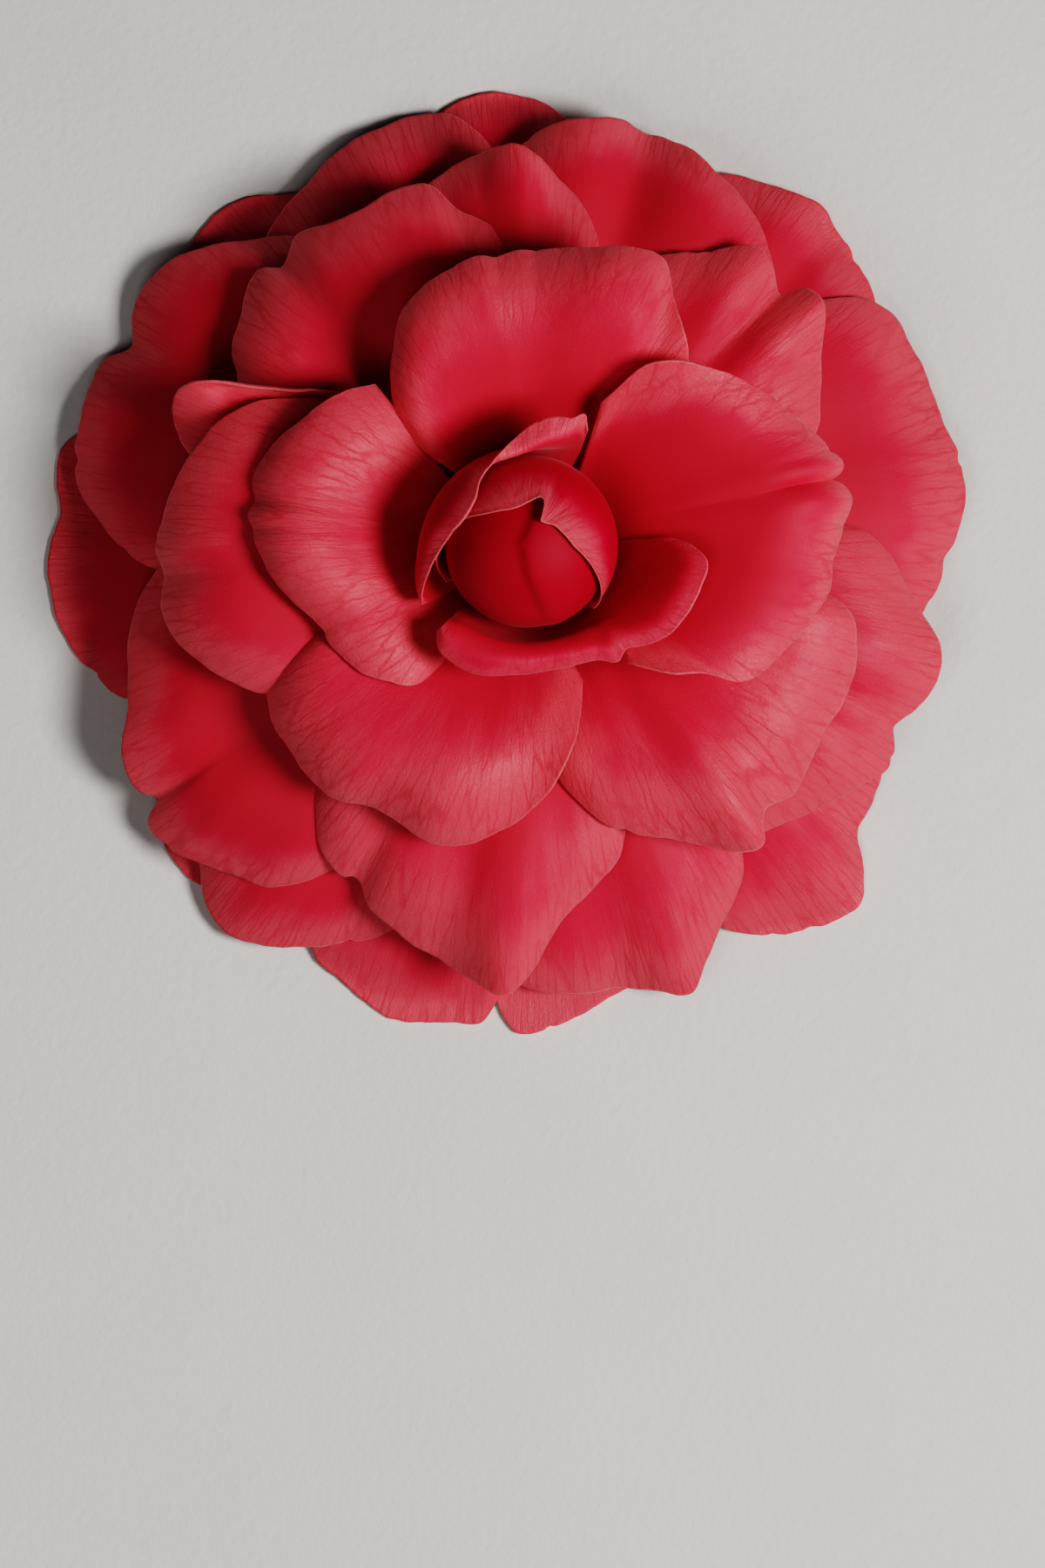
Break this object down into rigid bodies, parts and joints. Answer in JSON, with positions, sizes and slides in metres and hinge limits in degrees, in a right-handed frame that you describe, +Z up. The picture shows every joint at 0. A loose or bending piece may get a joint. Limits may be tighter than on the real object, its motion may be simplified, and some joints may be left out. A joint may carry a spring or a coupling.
{
  "type": "camellia flower",
  "caption": "Picked double red camellia flower lying face up: drooping outer petals round a domed, still folded bud, with green sepals and a short cut stalk underneath.",
  "frame": {"origin": "middle of the flower's footprint on the table, which is z = 0", "axes": "+Z up, along the flower's own axis from the stalk to the bud; +Y towards the middle of the two guard petals that lie beyond the bud when the wide lip petal of the bud is at the near right"},
  "size_m": [0.1016, 0.1052, 0.0402],
  "materials": {
    "petal": "satin",
    "deep_petal": "satin",
    "sepal": "matte",
    "bract": "matte",
    "receptacle": "matte",
    "pedicel": "matte"
  },
  "bodies": {
    "root": {"bract_1": "bract", "bract_2": "bract", "bract_3": "bract", "bract_4": "bract", "bud_heart": "deep_petal", "bud_hood": "petal", "guard_petal_1": "petal", "guard_petal_2": "petal", "guard_petal_3": "petal", "guard_petal_4": "petal", "guard_petal_5": "petal", "guard_petal_6": "petal", "guard_petal_7": "petal", "guard_petal_8": "petal", "hood_petal": "petal", "inner_petal_1": "petal", "inner_petal_2": "petal", "inner_petal_3": "petal", "inner_petal_4": "petal", "lip_petal": "petal", "middle_petal_1": "petal", "middle_petal_2": "petal", "middle_petal_3": "petal", "middle_petal_4": "petal", "middle_petal_5": "petal", "middle_petal_6": "petal", "middle_petal_7": "petal", "outer_petal_1": "petal", "outer_petal_2": "petal", "outer_petal_3": "petal", "outer_petal_4": "petal", "outer_petal_5": "petal", "outer_petal_6": "petal", "outer_petal_7": "petal", "outer_petal_8": "petal", "pedicel": "pedicel", "receptacle": "receptacle", "sepal_1": "sepal", "sepal_2": "sepal", "sepal_3": "sepal", "sepal_4": "sepal", "sepal_5": "sepal"}
  },
  "joints": []
}
